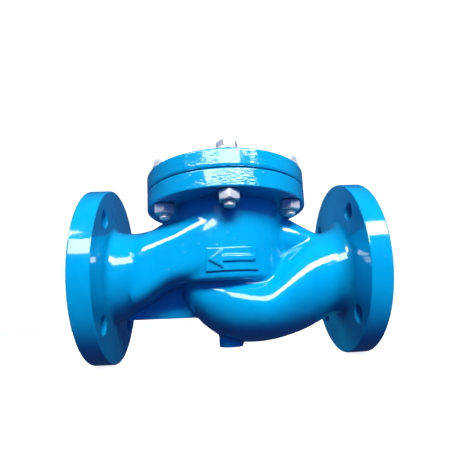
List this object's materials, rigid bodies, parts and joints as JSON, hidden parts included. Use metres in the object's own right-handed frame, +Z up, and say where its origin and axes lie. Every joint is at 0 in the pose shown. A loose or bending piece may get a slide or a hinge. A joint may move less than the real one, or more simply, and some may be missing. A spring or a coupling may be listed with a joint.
{
  "type": "flanged lift check valve",
  "caption": "Globe-pattern lift check valve with two round pipe flanges, a bolted round cover and a spring-closed plug on a seat.",
  "frame": {"origin": "on the lowest line of the two pipe flanges, midway between them, straight under the centre of the seat", "axes": "+X along the pipe axis towards the inlet flange, +Y from the front with the flow arrow towards the back, +Z up along the plug's stem to the cover"},
  "size_m": [0.29, 0.185, 0.2091],
  "materials": {
    "blue_enamel": "glossy bright blue enamel over cast iron",
    "zinc_plate": "bright zinc plated steel",
    "stainless_steel": "turned stainless steel",
    "bronze": "turned bronze",
    "graphite": "dull graphite sheet"
  },
  "bodies": {
    "valve": {"body_casting": "blue_enamel", "seat_ring": "stainless_steel", "guide_bush": "bronze", "closing_spring": "stainless_steel", "bonnet_cover": "blue_enamel", "bonnet_gasket": "graphite", "bonnet_bolt_1": "zinc_plate", "bonnet_bolt_2": "zinc_plate", "bonnet_bolt_3": "zinc_plate", "bonnet_bolt_4": "zinc_plate", "bonnet_bolt_5": "zinc_plate", "bonnet_bolt_6": "zinc_plate", "bonnet_nut_1": "zinc_plate", "bonnet_nut_2": "zinc_plate", "bonnet_nut_3": "zinc_plate", "bonnet_nut_4": "zinc_plate", "bonnet_nut_5": "zinc_plate", "bonnet_nut_6": "zinc_plate", "bonnet_washer_1": "zinc_plate", "bonnet_washer_2": "zinc_plate", "bonnet_washer_3": "zinc_plate", "bonnet_washer_4": "zinc_plate", "bonnet_washer_5": "zinc_plate", "bonnet_washer_6": "zinc_plate"},
    "plug": {"valve_plug": "stainless_steel"}
  },
  "joints": [
    {"name": "plug_lift", "type": "slide", "parent": "valve", "child": "plug", "axis": [0, 0, 1], "range_m": [0, 0.016], "stiffness_N_per_m": 300, "springref_m": -0.02, "deforming": ["closing_spring"]}
  ]
}
